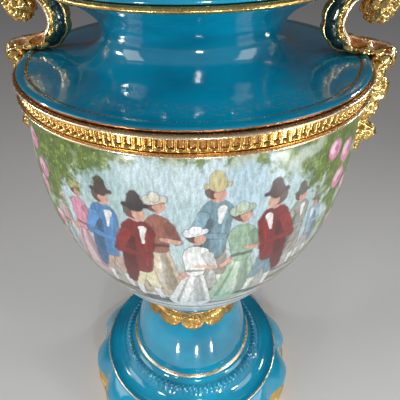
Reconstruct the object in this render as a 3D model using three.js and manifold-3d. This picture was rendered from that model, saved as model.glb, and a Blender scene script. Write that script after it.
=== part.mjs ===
// Mantel urn: a glazed porcelain vessel on a lobed foot, with gilt scroll handles,
// a fluted gilt band, a lappet collar and a domed lid with its knob.
// Units are millimetres and +Z is up. The origin is the centre of the surface that the urn
// stands on, and the handles lie along X. Heights marked "above the band" are measured from
// the bead under the fluted band.

import * as THREE from 'three';
import { mergeVertices } from 'three/addons/utils/BufferGeometryUtils.js';
import Module from 'manifold-3d';

const wasm = await Module();
wasm.setup();

// ---- driving dimensions -------------------------------------------------------------

const BAND_Z = 302; // height of the bead under the fluted band, above the table
const WALL = 5; // porcelain wall
const GAP = 0.3; // clearance between pieces that touch

const BOWL_R = 98; // widest radius of the bowl
const BOWL_TOP_R = 95.7; // radius of the wall behind the fluted band
const NECK_R = 50; // narrowest radius of the neck
const SHOULDER_R = 91.4; // where the shoulder meets the roll round its edge
const ROLL_R = 97.6; // outside of the turquoise roll
const RIM_R = 75.7; // outside of the gilt rim
const RIM_TOP = 50.2; // top of the rim, above the band
const VESSEL_BOTTOM = -185; // underside of the vessel, above the band

const BEAD_R = 100; // outside of the bead and the top rail of the fluted band
const FLUTE_R = 98.4; // outside of the ridges between the flutes
const FLUTE_DEPTH = 1.5;
const FLUTE_COUNT = 140;
const BAND_TOP = 9.7;
const BAND_BOTTOM = -0.9;

const LOBE_COUNT = 12; // lobes round the foot's flange
const FLANGE_R = 93.2; // mean radius of the flange's edge
const LOBE_DEPTH = 3; // how far the lobes stand out from that, and in
const SKIRT_R = 95; // radius of the gilt side where it stands

const LAPPET_COUNT = 12;
const LAPPET_TURN = THREE.MathUtils.degToRad(6.4); // the collar's turn against the handles
const COLLAR_R = 35.5;
const LAPPET_TIP_Z = -200.4;
const LAPPET_NOTCH_Z = -193;
const COLLAR_THICK = 1.6;

const HANDLE_WIDTH = 16; // along Y
const ROSETTE_R = 9.8;

const LID_EDGE_R = 74;
const LID_TOP = 92; // top of the dome, above the band
const KNOB_TOP = 128;

const VESSEL_SEGMENTS = 32;
const BAND_SEGMENTS = 40;
const FOOT_SEGMENTS = 4 * LOBE_COUNT;
const COLLAR_SEGMENTS = 4 * LAPPET_COUNT;
const LID_SEGMENTS = 20;

// ---- materials ----------------------------------------------------------------------

const turquoise = new THREE.MeshStandardMaterial({ color: 0x0689ac, roughness: 0.12, metalness: 0 });
const painted = new THREE.MeshStandardMaterial({ color: 0x2f9fb8, roughness: 0.15, metalness: 0 });
const gilt = new THREE.MeshStandardMaterial({ color: 0xd9a441, roughness: 0.25, metalness: 1 });

// ---- helpers ------------------------------------------------------------------------

const at = (radius, height) => new THREE.Vector2(radius, BAND_Z + height);

// A smooth outline through a few points, with the last one left for what follows.
function smooth(points, steps) {
  return new THREE.SplineCurve(points).getPoints(steps).slice(0, -1);
}

// Shared vertices merged and collapsed triangles dropped.
function welded(geometry) {
  const plain = geometry.clone();
  plain.deleteAttribute('normal');
  plain.deleteAttribute('uv');
  const merged = mergeVertices(plain, 1e-4);
  const kept = [];
  const index = merged.getIndex().array;
  for (let i = 0; i < index.length; i += 3) {
    const [a, b, c] = [index[i], index[i + 1], index[i + 2]];
    if (a !== b && b !== c && c !== a) kept.push(a, b, c);
  }
  merged.setIndex(kept);
  return merged;
}

function signedVolume(geometry) {
  const position = geometry.getAttribute('position');
  const index = geometry.getIndex().array;
  const [a, b, c] = [new THREE.Vector3(), new THREE.Vector3(), new THREE.Vector3()];
  let total = 0;
  for (let i = 0; i < index.length; i += 3) {
    a.fromBufferAttribute(position, index[i]);
    b.fromBufferAttribute(position, index[i + 1]);
    c.fromBufferAttribute(position, index[i + 2]);
    total += a.dot(b.cross(c)) / 6;
  }
  return total;
}

// A closed geometry as a solid for booleans, with its faces pointing out.
function solid(geometry) {
  const closed = welded(geometry);
  const index = Uint32Array.from(closed.getIndex().array);
  if (signedVolume(closed) < 0) {
    for (let i = 0; i < index.length; i += 3) [index[i], index[i + 1]] = [index[i + 1], index[i]];
  }
  const vertProperties = Float32Array.from(closed.getAttribute('position').array);
  return new wasm.Manifold(new wasm.Mesh({ numProp: 3, vertProperties, triVerts: index }));
}

function surface(manifold) {
  const mesh = manifold.getMesh();
  const geometry = new THREE.BufferGeometry();
  geometry.setAttribute('position', new THREE.BufferAttribute(mesh.vertProperties, 3));
  geometry.setIndex(new THREE.BufferAttribute(mesh.triVerts, 1));
  geometry.computeVertexNormals();
  return geometry;
}

// A profile of (radius, height) points turned round the Z axis. reshape may move each
// point: it gets the angle, the point and the point's place in the profile.
function turned(profile, segments, reshape = null) {
  const geometry = new THREE.LatheGeometry(profile, segments);
  geometry.rotateX(Math.PI / 2);
  if (reshape) {
    const position = geometry.getAttribute('position');
    for (let i = 0; i < position.count; i += 1) {
      const place = i % profile.length;
      const angle = (2 * Math.PI * Math.floor(i / profile.length)) / segments;
      const { x: radius, y: height } = reshape(angle, profile[place], place);
      position.setXYZ(i, radius * Math.cos(angle), radius * Math.sin(angle), height);
    }
  }
  return solid(geometry);
}

function ellipsoid(x, y, height, sizes) {
  const geometry = new THREE.SphereGeometry(1, 6, 4);
  geometry.rotateX(Math.PI / 2);
  geometry.scale(...sizes);
  geometry.translate(x, y, BAND_Z + height);
  return solid(geometry);
}

function piece(name, manifold, material) {
  const mesh = new THREE.Mesh(surface(manifold), material);
  mesh.name = name;
  return mesh;
}

// ---- vessel -------------------------------------------------------------------------

// From the knop under the bowl up to the wall behind the band.
function bowlOutside() {
  return smooth([at(34.6, -176), at(49.5, -162.5), at(69, -136), at(86.6, -100),
    at(96, -67), at(BOWL_R, -34), at(BOWL_TOP_R + 1, -6)], 8);
}

function rollOutside() {
  return [at(BOWL_TOP_R, 10), at(ROLL_R, 10), at(ROLL_R - 0.6, 11.8), at(SHOULDER_R + 1, 12.1)];
}

function shoulderAndNeckOutside() {
  return smooth([at(SHOULDER_R, 11.5), at(77, 12.2), at(62, 13.8), at(53, 19.2), at(NECK_R, 26),
    at(52, 33), at(59.6, 39.8), at(74.3, 47.4)], 9);
}

function rim() {
  return [at(74.3, 47.4), at(RIM_R, 48.8), at(74.4, RIM_TOP)];
}

function vesselInside() {
  const mouth = [at(71.5, RIM_TOP), at(60, 45.5), at(49, 37), at(NECK_R - WALL, 26), at(49, 14),
    at(60, 8.4), at(86, 6.4)];
  const bowl = smooth([at(BOWL_TOP_R - WALL, 1), at(BOWL_R - WALL, -34), at(91, -66),
    at(81.4, -98), at(64, -132), at(34, -163)], 4);
  return [...mouth, ...bowl, at(34, -163), at(0, -171)];
}

function vesselProfile() {
  const knop = [at(0, VESSEL_BOTTOM), at(34.6, VESSEL_BOTTOM), at(36.9, -182)];
  return [...knop, ...bowlOutside(), at(BOWL_TOP_R + 1, -6), at(BOWL_TOP_R, -1.2), ...rollOutside(),
    ...shoulderAndNeckOutside(), ...rim(), ...vesselInside()];
}

// ---- fluted band --------------------------------------------------------------------

// A ring with a bead below, a rail above and a plain bed between them.
function bandRails(inner) {
  const bed = FLUTE_R - FLUTE_DEPTH;
  return turned([at(inner, BAND_BOTTOM), at(BEAD_R - 0.6, BAND_BOTTOM), at(BEAD_R, 0),
    at(BEAD_R - 0.6, 1.2), at(bed, 1.2), at(bed, 7.8), at(BEAD_R - 0.4, 7.8), at(BEAD_R, 8.7),
    at(BEAD_R - 0.9, BAND_TOP), at(inner, BAND_TOP), at(inner, BAND_BOTTOM)], BAND_SEGMENTS);
}

// A ring whose outside is a row of upright ridges.
function flutes(inner) {
  const points = [];
  for (let i = 0; i < 2 * FLUTE_COUNT; i += 1) {
    const angle = (Math.PI * i) / FLUTE_COUNT;
    const radius = i % 2 === 0 ? FLUTE_R : FLUTE_R - FLUTE_DEPTH;
    points.push(new THREE.Vector2(radius * Math.cos(angle), radius * Math.sin(angle)));
  }
  const outline = new THREE.Shape(points);
  const hole = new THREE.Path();
  hole.absarc(0, 0, inner, 0, 2 * Math.PI, false);
  outline.holes.push(hole);
  const ring = new THREE.ExtrudeGeometry(outline, {
    depth: 6.8,
    bevelEnabled: false,
    curveSegments: BAND_SEGMENTS / 2, // a full circle is drawn with twice this count
  });
  ring.translate(0, 0, BAND_Z + 1.1);
  return solid(ring);
}

function flutedBand() {
  const inner = BOWL_TOP_R + 2 * GAP;
  return bandRails(inner).add(flutes(inner + 0.4));
}

// ---- handles ------------------------------------------------------------------------

// The scroll's middle line in the XZ plane, from its foot on the shoulder's edge up past the
// neck and over to the rosette, with half its thickness at each point.
const SCROLL = [
  { x: 108, z: 13, half: 3.4 },
  { x: 99, z: 15.3, half: 3.6 },
  { x: 89.5, z: 16.3, half: 4.2 },
  { x: 80.5, z: 19, half: 5.2 },
  { x: 76, z: 24.5, half: 5.6 },
  { x: 75.3, z: 32, half: 5.6 },
  { x: 78.6, z: 40, half: 5.1 },
  { x: 85.5, z: 45.4, half: 4.3 },
  { x: 94, z: 46, half: 3.4 },
];

function scroll() {
  const middle = new THREE.SplineCurve(SCROLL.map(({ x, z }) => new THREE.Vector2(x, z)));
  const steps = 2 * (SCROLL.length - 1);
  const [left, right] = [[], []];
  for (let i = 0; i <= steps; i += 1) {
    const t = i / steps;
    const point = middle.getPoint(t);
    const along = middle.getTangent(t);
    const near = SCROLL[Math.floor(i / 2)].half;
    const half = (near + SCROLL[Math.ceil(i / 2)].half) / 2;
    left.push(new THREE.Vector2(point.x - along.y * half, point.y + along.x * half));
    right.push(new THREE.Vector2(point.x + along.y * half, point.y - along.x * half));
  }
  const bevel = 2;
  const outline = new THREE.Shape([...left, ...right.reverse()]);
  const strap = new THREE.ExtrudeGeometry(outline, {
    depth: HANDLE_WIDTH - 2 * bevel,
    bevelThickness: bevel,
    bevelSize: bevel,
    bevelOffset: -bevel,
    bevelSegments: 1,
  });
  strap.translate(0, 0, bevel - HANDLE_WIDTH / 2);
  strap.rotateX(Math.PI / 2);
  strap.translate(0, 0, BAND_Z);
  return solid(strap);
}

// A ball with five broad petals that face outward.
function rosette() {
  const geometry = new THREE.SphereGeometry(ROSETTE_R, 10, 6);
  const position = geometry.getAttribute('position');
  const point = new THREE.Vector3();
  for (let i = 0; i < position.count; i += 1) {
    point.fromBufferAttribute(position, i);
    const round = Math.atan2(point.x, point.z);
    const petal = 1 + (0.07 * Math.cos(5 * round) * Math.hypot(point.x, point.z)) / ROSETTE_R;
    position.setXYZ(i, point.x * petal, point.y * 0.88, point.z * petal);
  }
  geometry.translate(97.6, 0, BAND_Z + 36.8);
  return solid(geometry);
}

// The leaf cluster over the shoulder's edge, and the pendant of leaves and berries below.
function terminal() {
  const lumps = [
    ellipsoid(105.5, 0, 9.5, [8, 8.5, 7.5]),
    ellipsoid(101, 6.5, 3, [6.5, 5.5, 7]),
    ellipsoid(101, -6.5, 3, [6.5, 5.5, 7]),
    ellipsoid(105.8, 0, -8.5, [9.2, 7.5, 8.5]),
    ellipsoid(104, 0, -20.5, [8, 6, 7.5]),
    ellipsoid(101.5, 0, -28.5, [6.3, 4.2, 5.5]),
    ellipsoid(106, 0, -35.6, [9.2, 6.2, 6.6]),
    ellipsoid(101.3, 0, -45, [6, 3.6, 7]),
  ];
  return lumps.reduce((all, lump) => all.add(lump));
}

// What the handles stand against: the vessel and the band, grown by the clearance.
function clearance() {
  const outside = [at(0, VESSEL_BOTTOM), at(34, VESSEL_BOTTOM), ...bowlOutside(),
    at(BOWL_TOP_R + 1, -6), at(BEAD_R, -1.2), at(BEAD_R, BAND_TOP), ...rollOutside().slice(2),
    ...shoulderAndNeckOutside(), ...rim()];
  const grown = outside.map((point) => new THREE.Vector2(
    point.x === 0 ? 0 : point.x + GAP,
    point.x > NECK_R && point.y > BAND_Z + 9 && point.y < BAND_Z + 22 ? point.y + GAP : point.y,
  ));
  return turned([...grown, at(0, RIM_TOP)], VESSEL_SEGMENTS);
}

function handle() {
  return scroll().add(rosette()).add(terminal()).subtract(clearance());
}

// ---- foot and collar ----------------------------------------------------------------

// Each point has a radius, a height above the band, and how much of the lobes it takes.
function footProfile() {
  const top = VESSEL_BOTTOM - GAP;
  const bell = [[0, top, 0], [30, top, 0], [30, -188.6, 0], [35.4, -190.5, 0],
    [39.7, -198.6, 0], [45.2, -210, 0], [49.6, -225, 0], [52.6, -247, 0]];
  const giltRing = [[54.4, -250, 0]];
  const reliefRing = [[57.5, -255, 0], [61.5, -255.6, 0], [65, -259.6, 0]];
  const flute = [[71, -265.6, 0]];
  const ridge = [[80.2, -265.8, 0], [82.2, -267.8, 0.1]];
  const flange = [[FLANGE_R - 4.5, -275, 0.7], [FLANGE_R, -283.6, 1]];
  const side = [[FLANGE_R - 3.4, -286.4, 0.8], [SKIRT_R, -296.5, 0.4], [SKIRT_R, -BAND_Z, 0.35]];
  const underside = [[SKIRT_R - 7, -BAND_Z, 0.2], [78, -274.5, 0], [50, -262, 0], [45, -228, 0],
    [34, -199, 0], [0, -191, 0]];
  return [...bell, ...giltRing, ...reliefRing, ...flute, ...ridge, ...flange, ...side, ...underside];
}

function foot() {
  const rows = footProfile();
  const profile = rows.map(([radius, height]) => at(radius, height));
  const lobes = (angle, point, place) => {
    const out = -rows[place][2] * LOBE_DEPTH * Math.cos(LOBE_COUNT * angle);
    return new THREE.Vector2(point.x + out, point.y);
  };
  return turned(profile, FOOT_SEGMENTS, lobes);
}

// The collar's skirt hangs over the bell's top and ends in a row of round lappets.
function collar() {
  const inside = 30 + GAP;
  const top = VESSEL_BOTTOM - GAP;
  const profile = [at(inside, top), at(COLLAR_R - 1, top), at(COLLAR_R, -186.8),
    at(COLLAR_R - 0.4, -188.4), at(0, 0), at(0, 0), at(35.8, -190), at(inside, -188.1),
    at(inside, top)];
  const skirtTop = 3;
  const bellAt = (height) => 35.4 + GAP + 0.3 - 0.53 * (height + 190.5);
  const lappets = (angle, point, place) => {
    const step = place - skirtTop;
    if (step < 1 || step > 2) return point;
    const turn = (angle / (2 * Math.PI)) * LAPPET_COUNT;
    const across = 2 * (turn - Math.round(turn));
    const low = LAPPET_NOTCH_Z + (LAPPET_TIP_Z - LAPPET_NOTCH_Z) * Math.sqrt(1 - across * across);
    return step === 1 ? at(bellAt(low) + COLLAR_THICK, low + 0.8) : at(bellAt(low), low);
  };
  return turned(profile, COLLAR_SEGMENTS, lappets).rotate([0, 0, THREE.MathUtils.radToDeg(LAPPET_TURN) - 90]);
}

// ---- lid ----------------------------------------------------------------------------

function lidProfile() {
  const seat = RIM_TOP + GAP;
  const edge = [at(LID_EDGE_R - 7, seat), at(LID_EDGE_R - 0.8, seat), at(LID_EDGE_R, seat + 1.4),
    at(LID_EDGE_R - 1.2, seat + 3.2)];
  const dome = smooth([at(66, 55), at(57, 60), at(44, 76), at(24, 88), at(9.5, LID_TOP)], 5);
  const knob = [at(9.5, LID_TOP), at(7, 95.5), at(11, 97.5), at(6.5, 101), at(13.5, 110),
    at(9, 120), at(0, KNOB_TOP)];
  const inside = [at(0, LID_TOP - WALL), ...smooth([at(22, LID_TOP - 9), at(40, 71.5), at(53, 56),
    at(59, 50)], 3), at(59, 48), at(63.5, 48), at(LID_EDGE_R - 7, seat)];
  return [...edge, ...dome, ...knob, ...inside];
}

// ---- the urn ------------------------------------------------------------------------

const urn = new THREE.Group();
urn.add(piece('vessel', turned(vesselProfile(), VESSEL_SEGMENTS), painted));
urn.add(piece('fluted_band', flutedBand(), gilt));
const right = handle();
urn.add(piece('handle_right', right, gilt));
urn.add(piece('handle_left', right.mirror([1, 0, 0]), gilt));
urn.add(piece('lappet_collar', collar(), gilt));
urn.add(piece('foot', foot(), turquoise));
urn.add(piece('lid', turned(lidProfile(), LID_SEGMENTS), turquoise));

export default urn;
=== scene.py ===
# Mantel urn: a turquoise porcelain vessel with a painted bowl, on a lobed foot, with gilt
# scroll handles, a fluted gilt band, a lappet collar and a domed lid.
# Sizes are written in millimetres, with heights counted from the bead under the fluted band,
# and turned into metres where a mesh is made. Angles round the urn run from the front (-Y)
# towards the right handle (+X).

import math
import random

import bmesh
import bpy
from mathutils import Matrix, Vector, noise


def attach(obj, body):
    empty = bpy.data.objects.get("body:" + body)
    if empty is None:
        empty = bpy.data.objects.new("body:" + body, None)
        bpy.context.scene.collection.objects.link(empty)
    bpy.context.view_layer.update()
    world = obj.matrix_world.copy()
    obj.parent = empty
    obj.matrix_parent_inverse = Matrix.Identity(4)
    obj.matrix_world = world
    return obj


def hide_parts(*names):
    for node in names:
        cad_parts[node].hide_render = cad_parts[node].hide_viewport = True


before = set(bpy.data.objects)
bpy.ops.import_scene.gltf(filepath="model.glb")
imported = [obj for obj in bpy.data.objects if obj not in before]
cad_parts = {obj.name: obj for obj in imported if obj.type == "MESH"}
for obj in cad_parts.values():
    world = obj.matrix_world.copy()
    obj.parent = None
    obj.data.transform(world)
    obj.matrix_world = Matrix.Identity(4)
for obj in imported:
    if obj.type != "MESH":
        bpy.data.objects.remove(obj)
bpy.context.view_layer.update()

MM = 0.001
BAND_Z = 302.0

# ---- driving sizes ------------------------------------------------------------------

COLUMNS = 288
FLUTE_COUNT = 140
FLUTE_R = 98.4
FLUTE_DEPTH = 1.5
LOBE_COUNT = 12
LOBE_DEPTH = 3.0
LAPPET_COUNT = 12
LAPPET_TURN = math.radians(6.4)
RIM_TOP = 50.2
FLANGE_R = 93.2
RELIEF_COUNT = 45
ROSE_SEED = 3
TRACE = 1e-6  # share of the colour that is added to the place after each stroke
PAINT_R = 95.0

# ---- colours (sRGB) -----------------------------------------------------------------

TURQUOISE = (0, 146, 180)
TURQUOISE_DEEP = (0, 112, 144)
GOLD = (236, 198, 122)
GOLD_RED = (122, 70, 28)
# Pale gilt: its pale, whitish colour is a painted highlight.
GOLD_PAINTED_HIGHLIGHT = (248, 222, 182)
# Dark teal of the handles' panels: a painted dark reflection.
TEAL_DARK_REFLECTION = (52, 74, 70)
AMBER = (188, 124, 62)
PORCELAIN = (232, 234, 230)
SKY = (186, 207, 214)
SKY_LOW = (196, 205, 202)
SPRIG = (120, 108, 84)
SKIN = (206, 160, 140)
HAIR = (86, 58, 46)
LINEN = (226, 226, 222)
SHADOW = (92, 72, 62)
OUTLINE = (58, 40, 36)
DARK_RED = (122, 40, 36)
PALE_GREEN = (160, 188, 160)
BLUE_COAT = (84, 130, 176)
CREAM = (222, 214, 176)
GREY_BLUE = (118, 146, 156)
STRAW = (196, 184, 136)
ROSE_PINK = (216, 150, 170)

# Lights that show as windows in the glaze: places in metres for the neck, and for the stem the
# bearing in degrees, the distance and the height in metres.
NECK_WINDOWS = [
    (-0.464, -0.019, 0.449), (-0.238, -0.401, 0.166), (0.123, -0.477, 0.248), (0.385, -0.248, 0.153),
    (0.427, 0.167, 0.451),
]
STEM_WINDOWS = [(-17, 0.205, 0.014), (14, 0.205, 0.014), (37, 0.205, 0.014)]


def linear(colour, alpha=1.0):
    def channel(value):
        value /= 255.0
        return value / 12.92 if value <= 0.04045 else ((value + 0.055) / 1.055) ** 2.4

    return (*[channel(value) for value in colour], alpha)


# ---- node helpers -------------------------------------------------------------------


class Nodes:
    """A material or group's node tree, with short calls for the nodes used here."""

    def __init__(self, tree):
        self.tree = tree

    def add(self, kind, **settings):
        node = self.tree.nodes.new(kind)
        for name, value in settings.items():
            setattr(node, name, value)
        return node

    def link(self, source, target):
        self.tree.links.new(source, target)

    def feed(self, socket, value):
        if hasattr(value, "links"):
            self.link(value, socket)
        else:
            socket.default_value = value

    def math(self, operation, *values, clamp=False):
        node = self.add("ShaderNodeMath", operation=operation, use_clamp=clamp)
        for socket, value in zip(node.inputs, values):
            self.feed(socket, value)
        return node.outputs[0]

    def vector(self, operation, *values):
        node = self.add("ShaderNodeVectorMath", operation=operation)
        for socket, value in zip(node.inputs, values):
            self.feed(socket, value)
        return node.outputs["Value"] if operation in ("LENGTH", "DOT_PRODUCT") else node.outputs[0]

    def scaled(self, vector, factor):
        node = self.add("ShaderNodeVectorMath", operation="SCALE")
        self.feed(node.inputs[0], vector)
        self.feed(node.inputs["Scale"], factor)
        return node.outputs[0]

    def ramp(self, value, low, high, out_low=0.0, out_high=1.0):
        node = self.add("ShaderNodeMapRange", interpolation_type="SMOOTHSTEP")
        self.feed(node.inputs["Value"], value)
        self.feed(node.inputs["From Min"], low)
        self.feed(node.inputs["From Max"], high)
        self.feed(node.inputs["To Min"], out_low)
        self.feed(node.inputs["To Max"], out_high)
        return node.outputs[0]

    def mix(self, factor, first, second):
        node = self.add("ShaderNodeMix", data_type="RGBA")
        self.feed(node.inputs[0], factor)
        self.feed(node.inputs[6], first)
        self.feed(node.inputs[7], second)
        return node.outputs[2]

    def noise(self, vector, scale, detail=3.0, roughness=0.5):
        node = self.add("ShaderNodeTexNoise")
        self.feed(node.inputs["Vector"], vector)
        node.inputs["Scale"].default_value = scale
        node.inputs["Detail"].default_value = detail
        node.inputs["Roughness"].default_value = roughness
        return node.outputs["Fac"]

    def cells(self, vector, scale, feature="F1"):
        node = self.add("ShaderNodeTexVoronoi", feature=feature)
        self.feed(node.inputs["Vector"], vector)
        node.inputs["Scale"].default_value = scale
        return node

    def place(self):
        return self.add("ShaderNodeTexCoord").outputs["Object"]

    def bump(self, height, distance, strength=1.0):
        node = self.add("ShaderNodeBump")
        node.inputs["Distance"].default_value = distance
        node.inputs["Strength"].default_value = strength
        self.feed(node.inputs["Height"], height)
        return node.outputs[0]


def new_material(name):
    material = bpy.data.materials.new(name)
    material.use_nodes = True
    nodes = Nodes(material.node_tree)
    shader = material.node_tree.nodes["Principled BSDF"]
    return material, nodes, shader


# ---- plain materials ----------------------------------------------------------------


def glaze_finish(nodes, shader, place, roughness=0.12, coat=1.0, coat_roughness=0.03):
    """Thick clear glaze: glossy, with a faint unevenness that bends the reflections."""
    shader.inputs["Roughness"].default_value = roughness
    shader.inputs["Coat Weight"].default_value = coat
    shader.inputs["Coat Roughness"].default_value = coat_roughness
    wave = nodes.noise(place, 38.0, 2.0)
    orange_peel = nodes.noise(place, 420.0, 2.0)
    height = nodes.math("MULTIPLY_ADD", orange_peel, 0.06, wave)
    surface = nodes.bump(height, 0.0006)
    nodes.link(surface, shader.inputs["Normal"])
    nodes.link(surface, shader.inputs["Coat Normal"])


def worn_sprigs(nodes, place):
    """Mask of the faint, worn gilt sprigs that run round the shoulder near its edge."""
    apart = nodes.add("ShaderNodeSeparateXYZ")
    nodes.link(place, apart.inputs[0])
    flat = nodes.vector("MULTIPLY", place, (1.0 / MM, 1.0 / MM, 0.0))
    radius = nodes.vector("LENGTH", flat)
    up = nodes.math("MULTIPLY_ADD", apart.outputs["Z"], 1.0 / MM, -BAND_Z)
    ring = nodes.math("MULTIPLY", nodes.ramp(radius, 74.0, 78.0), nodes.ramp(radius, 89.0, 86.0))
    shelf = nodes.math("MULTIPLY", nodes.ramp(up, 10.6, 11.4), nodes.ramp(up, 14.0, 13.0))
    sprig = nodes.ramp(nodes.noise(flat, 0.42, 4.0, 0.6), 0.52, 0.64)
    return nodes.math("MULTIPLY", nodes.math("MULTIPLY", ring, shelf), sprig)


def turquoise_material():
    material, nodes, shader = new_material("turquoise_glaze")
    place = nodes.place()
    cloud = nodes.ramp(nodes.noise(place, 22.0, 4.0), 0.3, 0.72)
    colour = nodes.mix(cloud, linear(TURQUOISE_DEEP), linear(TURQUOISE))
    speck = nodes.ramp(nodes.noise(place, 900.0, 2.0), 0.66, 0.74)
    colour = nodes.mix(nodes.math("MULTIPLY", speck, 0.35), colour, linear((0, 70, 96)))
    sprigs = nodes.math("MULTIPLY", worn_sprigs(nodes, place), 0.4)
    colour = nodes.mix(sprigs, colour, linear(SPRIG))
    nodes.link(colour, shader.inputs["Base Color"])
    glaze_finish(nodes, shader, place)
    return material


def porcelain_material():
    material, nodes, shader = new_material("white_glaze")
    place = nodes.place()
    cloud = nodes.noise(place, 30.0, 4.0)
    nodes.link(nodes.mix(cloud, linear(PORCELAIN), linear((214, 220, 216))), shader.inputs["Base Color"])
    glaze_finish(nodes, shader, place)
    return material


def gilt_material(name, colour, worn, wear=0.5, roughness=0.24, texture=0.0004):
    """Gilding: bright on the high places, red-brown in random worn-thin patches, and red-brown painted shade
    in the hollows.
    """
    material, nodes, shader = new_material(name)
    place = nodes.place()
    patch = nodes.ramp(nodes.noise(place, 160.0, 5.0, 0.6), 0.42, 0.74)
    # Hollow places (low pointiness) take the worn colour as painted shade in creases and recesses.
    hollow = nodes.ramp(nodes.add("ShaderNodeNewGeometry").outputs["Pointiness"], 0.49, 0.44)
    # The worn colour serves both the random wear patches and this painted shade in the hollows.
    wear_and_hollow_shade = nodes.math("MAXIMUM", nodes.math("MULTIPLY", patch, wear), hollow)
    nodes.link(nodes.mix(wear_and_hollow_shade, linear(colour), linear(worn)), shader.inputs["Base Color"])
    shader.inputs["Metallic"].default_value = 0.95
    grain = nodes.noise(place, 900.0, 3.0)
    nodes.link(nodes.ramp(grain, 0.2, 0.8, roughness - 0.07, roughness + 0.12), shader.inputs["Roughness"])
    nodes.link(nodes.bump(nodes.noise(place, 420.0, 4.0), texture), shader.inputs["Normal"])
    return material


def lustre_material(name, colour, dark):
    """A dark metallic glaze, as on the handles' panels and the scallops. On the panels the dark teal colour
    is a painted dark reflection.
    """
    material, nodes, shader = new_material(name)
    place = nodes.place()
    cloud = nodes.ramp(nodes.noise(place, 240.0, 4.0), 0.35, 0.7)
    nodes.link(nodes.mix(cloud, linear(dark), linear(colour)), shader.inputs["Base Color"])
    shader.inputs["Metallic"].default_value = 0.35
    shader.inputs["Roughness"].default_value = 0.22
    shader.inputs["Coat Weight"].default_value = 0.8
    shader.inputs["Coat Roughness"].default_value = 0.05
    nodes.link(nodes.bump(nodes.noise(place, 300.0, 3.0), 0.0003), shader.inputs["Normal"])
    return material


# ---- the painted bowl ---------------------------------------------------------------


def stroke_group():
    """A brush stroke as a tapered line: gives its fill and the thin line round it."""
    group = bpy.data.node_groups.new("brush_stroke", "ShaderNodeTree")
    sockets = group.interface
    for name, kind in [
        ("Place", "NodeSocketVector"), ("Start", "NodeSocketVector"), ("Run", "NodeSocketVector"),
        ("Over", "NodeSocketFloat"), ("Radius", "NodeSocketFloat"), ("Taper", "NodeSocketFloat"),
        ("Soft", "NodeSocketFloat"),
    ]:
        sockets.new_socket(name, in_out="INPUT", socket_type=kind)
    for name in ("Fill", "Line"):
        sockets.new_socket(name, in_out="OUTPUT", socket_type="NodeSocketFloat")
    nodes = Nodes(group)
    given = nodes.add("NodeGroupInput").outputs
    result = nodes.add("NodeGroupOutput").inputs
    away = nodes.vector("SUBTRACT", given["Place"], given["Start"])
    reach = nodes.vector("DOT_PRODUCT", away, given["Run"])
    along = nodes.math("MULTIPLY", reach, given["Over"], clamp=True)
    gap = nodes.vector("LENGTH", nodes.vector("SUBTRACT", away, nodes.scaled(given["Run"], along)))
    radius = nodes.math("MULTIPLY_ADD", along, given["Taper"], given["Radius"])
    depth = nodes.math("SUBTRACT", radius, gap)
    outside = nodes.math("MULTIPLY", given["Soft"], -1.0)
    nodes.link(nodes.ramp(depth, outside, given["Soft"]), result["Fill"])
    nodes.link(nodes.ramp(depth, -0.75, -0.2), result["Line"])
    return group


class Painter:
    """Lays strokes over a ground colour. Places are millimetres across and up the bowl."""

    def __init__(self, nodes, place, ground, group):
        self.nodes = nodes
        self.place = place
        self.colour = ground
        self.group = group

    def stroke(self, start, end, radius, end_radius, colour, soft=0.35, strength=1.0, line=0.0):
        node = self.nodes.add("ShaderNodeGroup", node_tree=self.group)
        run = (end[0] - start[0], end[1] - start[1])
        length = max(run[0] ** 2 + run[1] ** 2, 1e-4)
        self.nodes.link(self.place, node.inputs["Place"])
        node.inputs["Start"].default_value = (start[0], start[1], 0.0)
        node.inputs["Run"].default_value = (run[0], run[1], 0.0)
        node.inputs["Over"].default_value = 1.0 / length
        node.inputs["Radius"].default_value = radius
        node.inputs["Taper"].default_value = end_radius - radius
        node.inputs["Soft"].default_value = soft
        if line > 0.0:
            edge = self.nodes.math("MULTIPLY", node.outputs["Line"], line)
            self.colour = self.nodes.mix(edge, self.colour, linear(OUTLINE))
        fill = node.outputs["Fill"]
        if strength < 1.0:
            fill = self.nodes.math("MULTIPLY", fill, strength)
        self.colour = self.nodes.mix(fill, self.colour, linear(colour))
        # A trace of the colour so far goes into the place, so that the strokes are worked out
        # one after another and not all held at once.
        self.place = self.nodes.vector("ADD", self.place, self.nodes.scaled(self.colour, TRACE))

    def dot(self, centre, radius, colour, **settings):
        self.stroke(centre, (centre[0] + 0.01, centre[1]), radius, radius, colour, **settings)

    def layer(self, paint, *details, **settings):
        """Run paint in a node group of its own. Small groups are much quicker to build than one tree."""
        group = bpy.data.node_groups.new(paint.__name__, "ShaderNodeTree")
        for way in ("INPUT", "OUTPUT"):
            group.interface.new_socket("Place", in_out=way, socket_type="NodeSocketVector")
            group.interface.new_socket("Colour", in_out=way, socket_type="NodeSocketColor")
        inside = Nodes(group)
        given = inside.add("NodeGroupInput").outputs
        result = inside.add("NodeGroupOutput").inputs
        part = Painter(inside, given["Place"], given["Colour"], self.group)
        paint(part, *details, **settings)
        inside.link(part.place, result["Place"])
        inside.link(part.colour, result["Colour"])
        node = self.nodes.add("ShaderNodeGroup", node_tree=group)
        self.nodes.link(self.place, node.inputs["Place"])
        self.nodes.link(self.colour, node.inputs["Colour"])
        self.place = node.outputs["Place"]
        self.colour = node.outputs["Colour"]


def shade(colour, factor):
    return tuple(max(0, min(255, round(value * factor))) for value in colour)


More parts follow.
